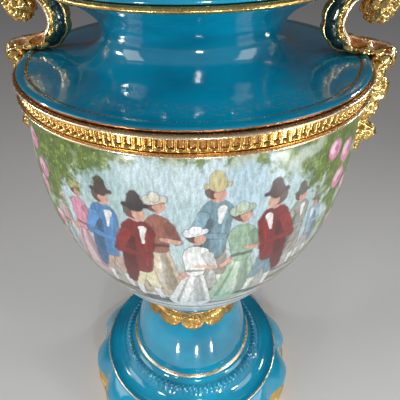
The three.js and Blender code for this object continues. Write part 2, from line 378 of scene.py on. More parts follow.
def lady(painter, across, floor, tall, dress, bodice, bonnet, lean=0.0):
    """A faceless standing lady in a long dress, with a round bonnet."""
    waist = (across + lean * 0.5, floor + 0.56 * tall)
    neck = (across + lean * 0.9, floor + 0.79 * tall)
    head = (across + lean, floor + 0.9 * tall)
    painter.stroke((across - 0.18 * tall, floor), (across + 0.2 * tall, floor), 0.035 * tall, 0.025 * tall,
                   SHADOW, soft=1.4, strength=0.6)
    painter.stroke((across - 0.02 * tall, floor + 0.07 * tall), waist, 0.18 * tall, 0.05 * tall,
                   dress, line=0.5)
    for offset, width, tone in ((-0.13, 0.014, 0.62), (-0.04, 0.02, 0.74), (0.05, 0.012, 0.6)):
        painter.stroke((across + offset * tall, floor + 0.02 * tall),
                       (waist[0] + 0.2 * offset * tall, waist[1]), width * tall, 0.006 * tall,
                       shade(dress, tone), soft=0.5, strength=0.75)
    painter.stroke((across + 0.1 * tall, floor + 0.05 * tall), (waist[0] + 0.02 * tall, waist[1]),
                   0.022 * tall, 0.01 * tall, shade(dress, 0.66), soft=0.6, strength=0.8)
    painter.stroke((across - 0.01 * tall, floor + 0.1 * tall), waist, 0.045 * tall, 0.025 * tall,
                   shade(LINEN, 0.96), soft=0.9, strength=0.55)
    painter.stroke((across + 0.05 * tall, floor + 0.04 * tall), waist, 0.035 * tall, 0.015 * tall,
                   shade(dress, 0.78), soft=0.8, strength=0.8)
    painter.stroke((across - 0.07 * tall, floor + 0.05 * tall), waist, 0.03 * tall, 0.012 * tall,
                   shade(dress, 1.1), soft=0.7, strength=0.8)
    painter.stroke((waist[0] - 0.03 * tall, waist[1]), (neck[0] - 0.11 * tall, floor + 0.47 * tall),
                   0.03 * tall, 0.02 * tall, SKIN, line=0.4)
    painter.stroke(waist, (neck[0], neck[1] - 0.06 * tall), 0.062 * tall, 0.085 * tall, bodice, line=0.6)
    painter.stroke((waist[0] - 0.05 * tall, waist[1]), (waist[0] + 0.05 * tall, waist[1] + 0.01 * tall),
                   0.014 * tall, 0.014 * tall, shade(bodice, 0.55), soft=0.4, strength=0.85)
    elbow = (waist[0] + 0.12 * tall, waist[1] + 0.04 * tall)
    painter.stroke((neck[0] + 0.07 * tall, neck[1] - 0.06 * tall), elbow, 0.034 * tall, 0.024 * tall,
                   shade(bodice, 0.86), line=0.4)
    painter.stroke(elbow, (waist[0] + 0.02 * tall, waist[1] + 0.06 * tall), 0.02 * tall, 0.014 * tall,
                   SKIN, line=0.2)
    painter.dot((head[0], head[1] - 0.03 * tall), 0.042 * tall, SKIN)
    painter.dot((head[0] - 0.012 * tall, head[1]), 0.058 * tall, HAIR, strength=0.9)
    painter.dot((head[0] + 0.014 * tall, head[1] - 0.022 * tall), 0.036 * tall, SKIN)
    painter.stroke((head[0] - 0.05 * tall, head[1] + 0.022 * tall),
                   (head[0] + 0.045 * tall, head[1] + 0.04 * tall), 0.034 * tall, 0.02 * tall,
                   bonnet, line=0.5)
    painter.dot((head[0] - 0.012 * tall, head[1] + 0.05 * tall), 0.034 * tall, shade(bonnet, 1.06),
                line=0.4)


def gentleman(painter, across, floor, tall, coat, breeches, hat, lean=0.0, side=1):
    """A faceless gentleman in a tailcoat, knee breeches and a round-brimmed hat."""
    hip = (across + lean * 0.4, floor + 0.46 * tall)
    neck = (across + lean * 0.9, floor + 0.8 * tall)
    head = (across + lean, floor + 0.9 * tall)
    painter.stroke((across - 0.14 * tall, floor), (across + 0.2 * tall, floor), 0.03 * tall, 0.02 * tall,
                   SHADOW, soft=1.4, strength=0.6)
    for foot, way in ((0.055, 1), (-0.06, -1)):
        knee = (hip[0] + foot * tall, floor + 0.25 * tall)
        heel = (knee[0] + 0.02 * way * tall, floor + 0.02 * tall)
        painter.stroke(knee, heel, 0.026 * tall, 0.016 * tall, LINEN, line=0.4)
        painter.stroke((hip[0] + 0.3 * foot * tall, hip[1]), knee, 0.055 * tall, 0.036 * tall,
                       breeches, line=0.5)
        painter.stroke(heel, (heel[0] + 0.04 * tall * side, floor), 0.014 * tall, 0.01 * tall, (52, 38, 34))
    tail = (hip[0] - 0.1 * tall * side, floor + 0.27 * tall)
    painter.stroke((neck[0] - 0.03 * tall * side, neck[1] - 0.16 * tall), tail, 0.075 * tall, 0.03 * tall,
                   shade(coat, 0.8), line=0.6)
    painter.stroke(hip, (neck[0], neck[1] - 0.05 * tall), 0.062 * tall, 0.092 * tall, coat, line=0.6)
    painter.stroke((neck[0] + 0.03 * tall * side, neck[1] - 0.02 * tall),
                   (hip[0] + 0.03 * tall * side, hip[1] + 0.22 * tall), 0.024 * tall, 0.008 * tall, LINEN)
    painter.stroke((neck[0] - 0.04 * tall * side, neck[1] - 0.1 * tall),
                   (hip[0] - 0.05 * tall * side, hip[1] - 0.02 * tall), 0.024 * tall, 0.02 * tall,
                   shade(coat, 0.55), soft=1.0, strength=0.7)
    painter.stroke((neck[0] + 0.05 * tall * side, neck[1] - 0.05 * tall),
                   (hip[0] + 0.035 * tall * side, hip[1] + 0.02 * tall), 0.008 * tall, 0.006 * tall,
                   shade(coat, 1.25), soft=0.3, strength=0.7)
    elbow = (hip[0] - 0.12 * tall * side, hip[1] + 0.13 * tall)
    painter.stroke((neck[0] - 0.075 * tall * side, neck[1] - 0.07 * tall), elbow,
                   0.036 * tall, 0.028 * tall, shade(coat, 1.15), line=0.4)
    painter.stroke(elbow, (hip[0] + 0.06 * tall * side, hip[1] + 0.12 * tall), 0.024 * tall, 0.018 * tall,
                   shade(coat, 1.05), line=0.4)
    painter.dot((head[0], head[1] - 0.03 * tall), 0.042 * tall, SKIN)
    painter.dot((head[0] - 0.016 * tall * side, head[1] - 0.002 * tall), 0.052 * tall, HAIR, strength=0.9)
    painter.dot((head[0] + 0.014 * tall * side, head[1] - 0.02 * tall), 0.036 * tall, SKIN)
    painter.stroke((head[0] - 0.062 * tall, head[1] + 0.03 * tall),
                   (head[0] + 0.062 * tall, head[1] + 0.038 * tall),
                   0.012 * tall, 0.012 * tall, hat, line=0.4)
    painter.stroke((head[0], head[1] + 0.04 * tall), (head[0] - 0.004 * tall, head[1] + 0.085 * tall),
                   0.046 * tall, 0.036 * tall, hat, line=0.4)


def paint_background(painter):
    """A misty park: pale trees, a low wall and a fountain."""
    for across, top, width, tone in ((-34, -10, 13, (150, 180, 176)), (-22, -24, 15, (160, 186, 184)),
                                     (34, -12, 10, (158, 190, 204)), (62, -22, 12, (166, 194, 190)),
                                     (4, -30, 9, (168, 194, 196))):
        painter.stroke((across, top), (across + 2, -66), width, width * 0.7, tone, soft=4.0, strength=0.5)
    painter.stroke((-80, -72), (92, -70), 7.0, 7.0, (170, 180, 172), soft=3.0, strength=0.7)
    painter.stroke((-84, -98), (96, -96), 22.0, 22.0, (158, 152, 140), soft=6.0, strength=0.75)
    for across in range(-84, -50, 7):
        painter.stroke((across, -60), (across, -72), 1.5, 1.1, (214, 216, 210), soft=0.4, strength=0.9)
    painter.stroke((-88, -58), (-50, -58), 1.2, 1.2, (222, 224, 218), line=0.3)
    painter.stroke((-88, -74), (-50, -75), 1.2, 1.2, (206, 206, 198), line=0.3)
    painter.stroke((18, -58), (18, -70), 1.4, 3.4, (204, 208, 204), soft=0.6)
    painter.stroke((11, -56), (25, -56), 1.6, 1.6, (216, 220, 216), line=0.3)
    painter.stroke((18, -55), (18, -40), 1.6, 0.6, (232, 240, 242), soft=1.2, strength=0.8)


def paint_steps(painter):
    """Broad steps across the front of the scene."""
    for step, low in enumerate(range(-104, -150, -9)):
        painter.stroke((-70 + 3 * step, low), (84 - 3 * step, low + 1), 2.3, 2.3, (222, 220, 212),
                       soft=0.5, strength=0.92)
        painter.stroke((-70 + 3 * step, low - 3.4), (84 - 3 * step, low - 2.4), 1.2, 1.2, (92, 72, 64),
                       soft=0.6, strength=0.85)
    for across, low, wide in ((-42, -104, 15), (-8, -112, 16), (36, -106, 15), (66, -96, 10)):
        painter.stroke((across - wide, low), (across + wide, low + 1), 3.4, 2.4, (84, 62, 56),
                       soft=1.4, strength=0.7)


def paint_figures(painter):
    """Three groups of small generic figures: far, middle and near."""
    painter.layer(lady, -64, -82, 46, (176, 190, 196), (196, 170, 168), (214, 200, 190))
    painter.layer(gentleman, 74, -82, 48, (150, 172, 186), (176, 168, 160), (120, 112, 110), side=-1)
    painter.layer(lady, -50, -88, 66, (204, 170, 176), ROSE_PINK, STRAW)
    painter.layer(gentleman, 62, -86, 62, (150, 150, 140), (160, 150, 140), (104, 92, 84))
    painter.layer(gentleman, 18, -92, 82, GREY_BLUE, (150, 140, 128), STRAW, lean=1.5)
    painter.layer(lady, -7, -94, 76, (196, 178, 150), (150, 96, 82), (206, 200, 186))
    painter.layer(gentleman, -36, -102, 84, BLUE_COAT, (190, 164, 148), (74, 58, 54), lean=2.0)
    painter.layer(lady, 34, -104, 80, PALE_GREEN, shade(PALE_GREEN, 0.92), (176, 190, 168), lean=-2.0)
    painter.layer(gentleman, 50, -104, 86, DARK_RED, GREY_BLUE, (78, 54, 46), lean=-3.0, side=-1)
    painter.layer(gentleman, -18, -112, 90, DARK_RED, CREAM, (48, 34, 34), lean=1.0)
    painter.layer(lady, 9, -114, 78, LINEN, LINEN, (226, 226, 230), lean=2.0)


def paint_roses(painter, seed, spots):
    chance = random.Random(seed)
    for across, up, size in spots:
        painter.dot((across, up), 1.25 * size, (222, 144, 178), soft=0.9)
        painter.dot((across - 0.3 * size, up + 0.3 * size), 0.75 * size, (246, 206, 220),
                    soft=0.8, strength=0.95)
        turn = chance.uniform(0, math.tau)
        painter.dot((across + 0.35 * size * math.cos(turn), up + 0.35 * size * math.sin(turn)),
                    0.4 * size, (184, 84, 130), soft=0.7, strength=0.8)


def painted_material():
    material, nodes, shader = new_material("painted_bowl")
    place = nodes.place()
    apart = nodes.add("ShaderNodeSeparateXYZ")
    nodes.link(place, apart.inputs[0])
    angle = nodes.math("ARCTAN2", apart.outputs["X"], nodes.math("MULTIPLY", apart.outputs["Y"], -1.0))
    across = nodes.math("MULTIPLY", angle, PAINT_R)
    up = nodes.math("MULTIPLY_ADD", apart.outputs["Z"], 1.0 / MM, -BAND_Z)
    flat = nodes.add("ShaderNodeCombineXYZ")
    nodes.link(across, flat.inputs[0])
    nodes.link(up, flat.inputs[1])
    flat = flat.outputs[0]
    wobble = nodes.add("ShaderNodeTexNoise")
    nodes.link(place, wobble.inputs["Vector"])
    wobble.inputs["Scale"].default_value = 260.0
    wobble.inputs["Detail"].default_value = 3.0
    shaken = nodes.vector("ADD", flat, nodes.scaled(
        nodes.vector("SUBTRACT", wobble.outputs["Color"], (0.5, 0.5, 0.5)), 2.2))

    # ground: sky above, paler haze below
    haze = nodes.ramp(up, -90.0, -10.0)
    ground = nodes.mix(haze, linear(SKY_LOW), linear(SKY))
    cloud = nodes.ramp(nodes.noise(flat, 0.035, 5.0), 0.35, 0.7)
    ground = nodes.mix(nodes.math("MULTIPLY", cloud, 0.55), ground, linear((206, 220, 220)))
    painter = Painter(nodes, shaken, ground, stroke_group())
    painter.layer(paint_background)
    painter.layer(paint_steps)
    paint_figures(painter)

    # foliage frames the scene; the back of the bowl is all foliage and sky
    centre = nodes.vector("SUBTRACT", flat, (8.0, -66.0, 0.0))
    oval = nodes.vector("LENGTH", nodes.vector("MULTIPLY", centre, (1.0 / 78.0, 1.0 / 64.0, 0.0)))
    ragged = nodes.noise(flat, 0.11, 6.0, 0.62)
    edge = nodes.math("MULTIPLY_ADD", nodes.math("SUBTRACT", ragged, 0.5), 0.75, oval)
    low = nodes.ramp(up, -128.0, -96.0)
    leafy = nodes.math("MULTIPLY", nodes.ramp(edge, 0.93, 1.06), low)
    leaf = nodes.cells(flat, 0.42)
    tone = nodes.ramp(nodes.noise(flat, 0.16, 5.0, 0.65), 0.32, 0.68)
    green = nodes.mix(tone, linear((54, 74, 30)), linear((156, 174, 88)))
    green = nodes.mix(nodes.ramp(leaf.outputs["Distance"], 0.2, 0.75), green, linear((96, 118, 50)))
    sun = nodes.ramp(nodes.noise(flat, 0.5, 3.0), 0.6, 0.7)
    green = nodes.mix(nodes.math("MULTIPLY", sun, 0.6), green, linear((190, 202, 140)))
    light_patch = nodes.ramp(nodes.noise(flat, 0.05, 2.0), 0.56, 0.66)
    green = nodes.mix(nodes.math("MULTIPLY", light_patch, 0.7), green, linear((198, 210, 198)))
    painter.colour = nodes.mix(leafy, painter.colour, green)
    painter.layer(paint_roses, ROSE_SEED, [
        (-88, -16, 5.0), (-80, -30, 4.6), (-84, -42, 4.0), (-72, -58, 3.8), (-78, -76, 4.2),
        (82, -14, 4.2), (96, -20, 5.2), (92, -34, 4.8), (104, -44, 4.0), (100, -66, 4.2),
        (-120, -30, 5.0), (-140, -52, 5.0), (140, -36, 5.0), (170, -60, 5.2), (-180, -34, 5.0),
        (-210, -62, 4.8), (216, -30, 5.0), (250, -56, 5.2), (-250, -40, 5.0), (285, -24, 4.6),
    ])

    # plain grey porcelain towards the knop
    foot_tone = nodes.ramp(up, -140.0, -126.0)
    colour = nodes.mix(foot_tone, linear((176, 186, 184)), painter.colour)
    brush = nodes.ramp(nodes.noise(flat, 1.6, 3.0), 0.3, 0.7, 0.78, 1.04)
    streak = nodes.noise(nodes.vector("MULTIPLY", flat, (1.0, 0.3, 0.0)), 0.6, 4.0, 0.65)
    tinted = nodes.scaled(colour, nodes.math("MULTIPLY", brush, nodes.ramp(streak, 0.34, 0.66, 0.72, 1.1)))
    nodes.link(tinted, shader.inputs["Base Color"])
    glaze_finish(nodes, shader, place, roughness=0.4, coat=0.3, coat_roughness=0.16)
    return material


# ---- mesh helpers -------------------------------------------------------------------


def curve(points, steps):
    """A smooth line through a few points (Catmull-Rom with centripetal-like end care)."""
    padded = [points[0], *points, points[-1]]
    line = []
    for place in range(len(points) - 1):
        before, first, second, after = [Vector(padded[place + k]) for k in range(4)]
        for step in range(steps):
            t = step / steps
            line.append(0.5 * ((2 * first) + (second - before) * t
                               + (2 * before - 5 * first + 4 * second - after) * t * t
                               + (3 * first - before - 3 * second + after) * t ** 3))
    line.append(Vector(points[-1]))
    return line


def finished(name, work, materials, smooth=True):
    bmesh.ops.recalc_face_normals(work, faces=work.faces)
    mesh = bpy.data.meshes.new(name)
    work.to_mesh(mesh)
    work.free()
    for material in materials:
        mesh.materials.append(material)
    for face in mesh.polygons:
        face.use_smooth = smooth
    piece = bpy.data.objects.new(name, mesh)
    bpy.context.scene.collection.objects.link(piece)
    return piece


def revolve(work, spans, angles, shift=None):
    """Turns an outline about Z. spans are (material, [(radius, height), ...]) that follow on.
    The outline is closed on the axis or on itself. shift may move each point."""
    outline, slots = [], []
    for slot, points in spans:
        for point in points:
            if outline and (Vector(point) - Vector(outline[-1])).length < 1e-4:
                continue
            outline.append((point[0], point[1]))
            slots.append(slot)
    on_axis = outline[0][0] < 1e-6
    if not on_axis and (Vector(outline[0]) - Vector(outline[-1])).length < 1e-4:
        outline.pop()
        slots.pop()
    rings = []
    for place, (radius, height) in enumerate(outline):
        if radius < 1e-6:
            rings.append([work.verts.new((0.0, 0.0, (BAND_Z + height) * MM))])
            continue
        ring = []
        for angle in angles:
            r, z = (radius, height) if shift is None else shift(angle, radius, height, place)
            spot = (r * MM * math.sin(angle), -r * MM * math.cos(angle), (BAND_Z + z) * MM)
            ring.append(work.verts.new(spot))
        rings.append(ring)
    count = len(rings)
    last = count - 1 if on_axis else count
    turn = len(angles)
    for place in range(last):
        low, high = rings[place], rings[(place + 1) % count]
        for k in range(turn):
            n = (k + 1) % turn
            if len(low) == 1 and len(high) == 1:
                continue
            if len(low) == 1:
                face = work.faces.new((low[0], high[n], high[k]))
            elif len(high) == 1:
                face = work.faces.new((low[k], low[n], high[0]))
            else:
                face = work.faces.new((low[k], low[n], high[n], high[k]))
            face.material_index = slots[(place + 1) % count]


def even_angles(count):
    return [math.tau * k / count for k in range(count)]


def place_piece(piece, slot, *nodes):
    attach(piece, "root")
    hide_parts(*nodes)
    return piece


# ---- vessel -------------------------------------------------------------------------


def make_vessel(turquoise, painted, gilt, worn_gilt_dark_reflection, white):
    work = bmesh.new()
    knop = [(0, -185), (34.0, -185), (36.0, -184.2), (36.9, -182.2), (36.9, -180.4), (36, -178.2),
            (34.6, -176.6)]
    bowl = curve([(34.6, -176.3), (49.5, -162.5), (69, -136), (86.6, -100), (96, -67), (98, -34),
                  (96.7, -6), (95.7, -1.2)], 12)
    behind = [(95.7, -1.2), (95.7, 10), (97.4, 10)]
    # The strip below the roll takes the worn gilt, whose dark brown is a painted dark reflection.
    strip = [(97.4, 10), (97.6, 10.4), (97.5, 11.1)]
    roll = [(97.5, 11.1), (97.0, 11.6), (95.9, 11.95), (94.2, 12.05), (92.6, 12.0)]
    line = [(92.6, 12.0), (91.9, 11.75), (91.3, 11.6)]
    shoulder = curve([(91.3, 11.6), (77, 12.2), (62, 13.8), (53, 19.2), (50, 26), (52, 33),
                      (59.6, 39.8), (74.3, 47.4)], 10)
    rim = curve([(74.3, 47.4), (75.4, 48.0), (75.7, 48.9), (75.0, 49.8), (73.6, 50.2), (71.5, 50.1)], 3)
    inside = curve([(71.5, 50.1), (60, 45.5), (49, 37), (45, 26), (49, 14), (60, 8.4), (86, 6.4),
                    (90.7, 1), (93, -34), (91, -66), (81.4, -98), (64, -132), (34, -163), (0, -171)], 4)
    spans = [(0, knop), (1, bowl), (1, behind), (3, strip), (0, roll), (2, line), (0, shoulder),
             (2, rim), (4, [(max(x, 0), z) for x, z in inside])]
    revolve(work, spans, even_angles(COLUMNS))
    piece = finished("vessel_body", work, [turquoise, painted, gilt, worn_gilt_dark_reflection, white])
    return place_piece(piece, "painted_porcelain", "vessel")


# ---- fluted band --------------------------------------------------------------------


def flute_depth(across, height):
    """How deep the hollow of one flute is. across runs over -1..1 between two ridges."""
    half = 1.74
    pitch = math.pi * FLUTE_R / FLUTE_COUNT
    x = across * pitch
    low = 1.9 + half
    inside = half - math.hypot(x, max(0.0, low - height))
    if inside <= 0:
        return 0.0
    return FLUTE_DEPTH * math.sin(0.5 * math.pi * min(1.0, inside / 0.6))


def make_band(gilt, gilt_painted_highlight):
    work = bmesh.new()
    steps = [-1.0, -0.86, -0.78, -0.66, -0.52, -0.2, 0.2, 0.52, 0.66, 0.78, 0.86]
    angles = [math.pi / FLUTE_COUNT * (2 * k + step) for k in range(FLUTE_COUNT) for step in steps]
    inner = 96.3
    # The bead and the rail take the pale gilt, whose pale colour is a painted highlight.
    bead = curve([(98.9, -0.9), (99.7, -0.5), (100, 0), (99.7, 0.6), (98.6, 0.9)], 3)
    rail = curve([(98.6, 7.9), (99.5, 7.95), (100, 8.5), (99.7, 9.3), (98.8, 9.7)], 3)
    field = [(FLUTE_R, 1.5 + 6.2 * k / 14) for k in range(15)]
    spans = [(0, [(inner, -0.9), bead[0]]), (1, bead), (0, [(97.4, 1.0), (97.4, 1.4), *field, (96.9, 7.8)]),
             (1, rail), (0, [(inner, 9.7), (inner, -0.9)])]

    def shift(angle, radius, height, place):
        if abs(radius - FLUTE_R) > 1e-6 or not 1.5 <= height <= 7.71:
            return radius, height
        turn = angle * FLUTE_COUNT / math.tau
        across = 2 * (turn - round(turn))
        return radius - flute_depth(across, height), height

    revolve(work, spans, angles, shift)
    return place_piece(finished("gilt_fluted_band", work, [gilt, gilt_painted_highlight]), "gilt", "fluted_band")


# ---- foot and collar ----------------------------------------------------------------


def make_foot(turquoise, gilt, gilt_painted_highlight):
    work = bmesh.new()
    top = [(0, -185.3), (30, -185.3), (30, -188.6), (35.4, -190.5)]
    bell = curve([(35.4, -190.5), (38.2, -198.6), (43.0, -210), (48.0, -225), (51.2, -238),
                  (52.5, -247.6)], 8)
    gold = curve([(52.5, -247.6), (53.6, -248.2), (54.4, -249.2), (54.2, -250.2)], 3)
    cove = curve([(54.2, -250.2), (55.0, -252.8), (57.5, -254.9)], 4)
    beads = curve([(57.5, -254.9), (59, -254.7), (61.2, -255.1), (63.4, -257.2), (65, -259.6)], 5)
    flute = curve([(65, -259.6), (67.2, -263), (70.8, -265.6), (75.5, -266.9), (79, -266.4)], 5)
    ridge = curve([(79, -266.4), (80.2, -265.7), (81.4, -266), (82.2, -267.6)], 3)
    flange = curve([(82.2, -267.6), (84.6, -269.9), (88.7, -275), (92, -280.6), (FLANGE_R, -283.4)], 5)
    lip = curve([(FLANGE_R, -283.4), (93.1, -284.6), (91.6, -285.6)], 2)
    side = curve([(91.6, -285.6), (90.6, -287.6), (91.2, -291.4), (93.2, -295.2), (94.9, -297.2),
                  (95, -299), (95, -301.4), (94.2, -302)], 4)
    under = [(94.2, -302), (88, -302), (78, -274.5), (50, -262), (45, -228), (34, -199), (0, -191)]
    # The gold ring, the ridge's crest and the lip take the pale gilt: a painted highlight.
    spans = [(0, top), (0, bell), (2, gold), (0, cove), (0, beads), (0, flute), (0, ridge[:4]),
             (2, ridge[3:7]), (0, ridge[6:]), (0, flange), (2, lip), (1, side), (0, under)]

    def lobed(angle, radius, height, place):
        if radius > 87.5 and height < -301.9:
            weight = 0.3
        elif radius > 82.3:
            weight = min(1.0, (radius - 82.2) / 9.5)
            if height < -286:
                weight = 1.0 - 0.62 * min(1.0, (-286 - height) / 12.0)
        else:
            weight = 0.0
        wave = math.cos(LOBE_COUNT * angle)
        rounded = wave + 0.22 * math.cos(2 * LOBE_COUNT * angle)
        r = radius - weight * LOBE_DEPTH * rounded
        z = height
        if 57.4 < radius < 65.1 and -259.7 < height < -254.6:
            bed = max(0.0, 1.0 - abs(radius - 61.2) / 3.8)
            twist = RELIEF_COUNT * angle
            z += 2.1 * bed * abs(math.cos(twist)) ** 0.8 - 0.8 * bed
            z += 0.6 * bed * math.cos(2 * twist + (radius - 61.2) * 1.8)
        return r, z

    revolve(work, spans, even_angles(720), lobed)
    piece = finished("lobed_foot", work, [turquoise, gilt, gilt_painted_highlight])
    return place_piece(piece, "turquoise_glaze", "foot")


def make_collar(gilt):
    work = bmesh.new()
    columns = LAPPET_COUNT * 24
    outline = [(30.4, -185.3), (34.2, -185.3), (35.2, -186.0), (35.5, -187.0), (35.0, -188.2),
               (35.4, -189.0)]
    skirt = 8
    full = outline + [(36.0, -189.8)] * (skirt + 3) + [(35.8, -190.0), (30.4, -188.1)]
    first = len(outline)

    def bell_radius(height):
        return 35.4 + 0.55 + 0.38 * (-190.5 - height)

    def lappet(angle, radius, height, place):
        step = place - first
        if step < 0 or step > skirt + 2:
            return radius, height
        turn = (angle - LAPPET_TURN) * LAPPET_COUNT / math.tau
        across = 2 * (turn - round(turn))
        low = -193.4 - 7.0 * math.sqrt(max(0.0, 1 - across * across))
        if step > skirt:
            down = 1.0 if step == skirt + 1 else 0.6
            z = -189.8 + (low + 189.8) * down
            return bell_radius(z), z
        down = step / skirt
        z = -189.8 + (low + 189.8) * down
        crown = 1.7 * math.sqrt(max(0.0, 1 - down ** 4)) * (1 - 0.45 * across ** 4)
        vein = 0.25 * max(0.0, 1 - abs(across) * 5)
        return bell_radius(z) + 0.3 + crown * 0.8 - vein, z

    flat = [(0, [(r + 1e-3 * k, z) for k, (r, z) in enumerate(full)])]
    revolve(work, flat, even_angles(columns), lappet)
    return place_piece(finished("lappet_collar_gilt", work, [gilt]), "gilt", "lappet_collar")


# ---- lid ----------------------------------------------------------------------------


def make_lid(turquoise, gilt, white):
    work = bmesh.new()
    seat = RIM_TOP + 0.3
    edge = curve([(67, seat), (73, seat), (73.9, seat + 1.0), (73.6, seat + 2.4), (72.8, seat + 3.1)], 3)
    dome = curve([(72.8, seat + 3.1), (66, 55), (57, 60), (44, 76), (24, 88), (11, 91.6)], 8)
    knob = curve([(11, 91.6), (8.4, 93), (7, 95.5), (9.6, 96.6), (11, 97.5), (9.2, 99), (6.5, 101),
                  (8, 104), (12.2, 107), (13.5, 111), (12.4, 115.6), (9, 120), (4.4, 124), (0, 128)], 4)
    inside = curve([(0, 87), (22, 83), (40, 71.5), (53, 56), (59, 50)], 4)
    spigot = [(59, 48), (63.5, 48), (67, seat)]
    spans = [(0, edge), (0, dome), (1, [(max(x, 0), z) for x, z in knob])]
    spans = [(2, [(max(x, 0), z) for x, z in inside]), (2, spigot)] + spans
    revolve(work, spans, even_angles(192))
    return place_piece(finished("domed_lid", work, [turquoise, gilt, white]), "turquoise_glaze", "lid")


# ---- handles ------------------------------------------------------------------------

# The scroll's middle line in the XZ plane, with half its thickness at each point. It starts in
# the leaf cluster, runs in along the arm, climbs past the neck and bends out to the rosette.
SCROLL = [
    (109.6, 8, 3.0), (107.8, 13, 3.3), (99, 15.3, 3.6), (89.5, 16.3, 4.2), (80.5, 19, 5.2), (76, 24.5, 5.6),
    (75.3, 32, 5.6), (78.6, 40, 5.1), (85.5, 45.4, 4.3), (94, 46, 3.4),
]
HUSK_PITCH = 8.2
ARM_END = 31.0  # run at which the arm has turned into the climbing part
SCALLOPS = [(11.0, 6.6), (24.6, 7.0)]  # run of each scallop's middle, and half its length

# One side of the strap's section, from the middle of the side that faces the opening round to
# the middle of the side that faces the neck: how far towards the opening (-1..1), how far out
# along Y, and the material up to the next point (0 gilt, 1 teal panel, whose dark teal is a painted dark
# reflection, 2 amber, 3 pale gilt, whose pale colour is a painted highlight).
CHANNEL = [
    (0.70, 0.0, 2), (0.70, 0.8, 2), (0.71, 1.6, 2), (0.72, 2.4, 2), (0.75, 3.2, 2), (0.79, 4.0, 2),
    (0.84, 4.7, 3), (0.93, 5.4, 3), (1.0, 6.2, 3), (0.98, 7.1, 3), (0.86, 7.8, 3), (0.7, 7.9, 3),
]
RIDGE = [
    (1.0, 0.0, 3), (1.0, 0.8, 3), (0.94, 1.6, 3), (0.84, 2.4, 3), (0.7, 3.2, 3), (0.54, 4.0, 3),
    (0.38, 4.7, 3), (0.22, 5.4, 3), (0.06, 6.1, 3), (-0.08, 6.8, 3), (-0.2, 7.3, 3), (-0.3, 7.6, 0),
]
FLANK = [
    (0.60, 7.3, 0), (0.54, 6.8, 0), (0.34, 6.6, 0), (0.14, 6.4, 0), (0.08, 6.2, 1), (0.0, 6.3, 1),
    (-0.2, 6.2, 1), (-0.44, 5.5, 1), (-0.66, 4.4, 1), (-0.8, 3.6, 0), (-0.87, 3.9, 0), (-0.95, 3.6, 0),
    (-1.0, 2.8, 0), (-1.0, 1.9, 0), (-1.0, 1.0, 0), (-1.0, 0.0, 0),
]


def scroll_line(steps):
    """Points, directions and half thicknesses along the scroll, with the length so far."""
    knots = curve([(x, z, half) for x, z, half in SCROLL], steps)
    run, rows = 0.0, []
    for k, knot in enumerate(knots):
        ahead = knots[min(k + 1, len(knots) - 1)] - knots[max(k - 1, 0)]
        along = Vector((ahead.x, ahead.y)).normalized()
        if k:
            run += Vector((knot.x - knots[k - 1].x, knot.y - knots[k - 1].y)).length
        rows.append((Vector((knot.x, knot.y)), along, knot.z, run))
    return rows


def smoothstep(value, low, high):
    t = max(0.0, min(1.0, (value - low) / (high - low)))
    return t * t * (3 - 2 * t)


def strap_section(run):
    """One side of the strap's section at a place along it: a ridge with scallops on the arm,
    and a channel with a raised edge on the climbing part."""
    climb = smoothstep(run, ARM_END - 4.0, ARM_END + 3.0)
    points = []
    for (ridge_a, ridge_b, ridge_m), (channel_a, channel_b, channel_m) in zip(RIDGE, CHANNEL):
        a = ridge_a + (channel_a - ridge_a) * climb
        b = ridge_b + (channel_b - ridge_b) * climb
        material = channel_m if climb > 0.6 else ridge_m
        for middle, half in SCALLOPS:
            d = math.hypot((run - middle) / half, (ridge_b - 3.9) / 3.3)
            if d < 1.0:
                a -= 0.42 * (1 - d * d) * (1 - climb)
            if d < 0.86 and climb < 0.6:
                material = 2
            a += 0.1 * (1 - climb) * max(0.0, 1 - abs(d - 1.08) / 0.3)
        points.append((a, b, material))
    for a, b, material in FLANK:
        if climb < 1.0:
            a = a - (1 - climb) * 1.05 * max(0.0, a + 0.1)
        if material == 1 and run < ARM_END - 5.0:
            material = 0
        points.append((a, b, material))
    return points


def add_strap(work, mirror):
    rows = scroll_line(18)
    rings, slots = [], []
    for middle, along, half, run in rows:
        opening = Vector((along.y, -along.x))
        phase = run / HUSK_PITCH * math.tau
        side = strap_section(run)
        section = side + [(a, -b, m) for a, b, m in reversed(side[1:-1])]
        slots.append([m for _, _, m in side[:-1]] + [m for _, _, m in reversed(side[:-1])])
        ring = []
        for a, b, _ in section:
            if a < -0.7:
                a = a + 0.16 * (0.5 - 0.5 * math.cos(phase)) ** 3
            reach = b
            if -0.7 < a < 0.06 and run > ARM_END - 5.0:
                reach = b - math.copysign(0.6 * max(0.0, -math.cos(phase)) ** 10, b)
            spot = middle + opening * (a * half)
            ring.append(work.verts.new((spot.x * mirror * MM, reach * MM, (BAND_Z + spot.y) * MM)))
        rings.append(ring)
    count = len(rings[0])
    for place, (low, high) in enumerate(zip(rings, rings[1:])):
        for k in range(count):
            n = (k + 1) % count
            face = work.faces.new((low[k], low[n], high[n], high[k]))
            face.material_index = slots[place][k]
    for ring in (rings[0], rings[-1]):
        work.faces.new(ring)
    return rows


def add_lump(work, centre, sizes, mirror, rough=0.0, cell=3.4, detail=3, seed=0.0, lean=0.0):
    """An ellipsoid whose surface breaks into small rounded lumps, as cast leaves and berries do.
    lean turns it in the XZ plane."""
    ball = bmesh.ops.create_icosphere(work, subdivisions=detail, radius=1.0)["verts"]
    cos, sin = math.cos(lean), math.sin(lean)
    for vert in ball:
        way = vert.co.copy()
        spot = Vector((way.x * sizes[0], way.y * sizes[1], way.z * sizes[2]))
        if rough:
            sample = (spot + Vector((centre[0] + seed, centre[1], centre[2]))) / cell
            near = noise.voronoi(sample)[0]
            fine = noise.voronoi(sample * 2.3)[0]
            spot += way * rough * (0.2 - 1.2 * min(near[0], 0.9) ** 2 - 0.3 * min(fine[0], 0.9) ** 2)
        x = spot.x * cos - spot.z * sin
        z = spot.x * sin + spot.z * cos
        vert.co = Vector(((centre[0] + x) * mirror, centre[1] + spot.y, BAND_Z + centre[2] + z)) * MM


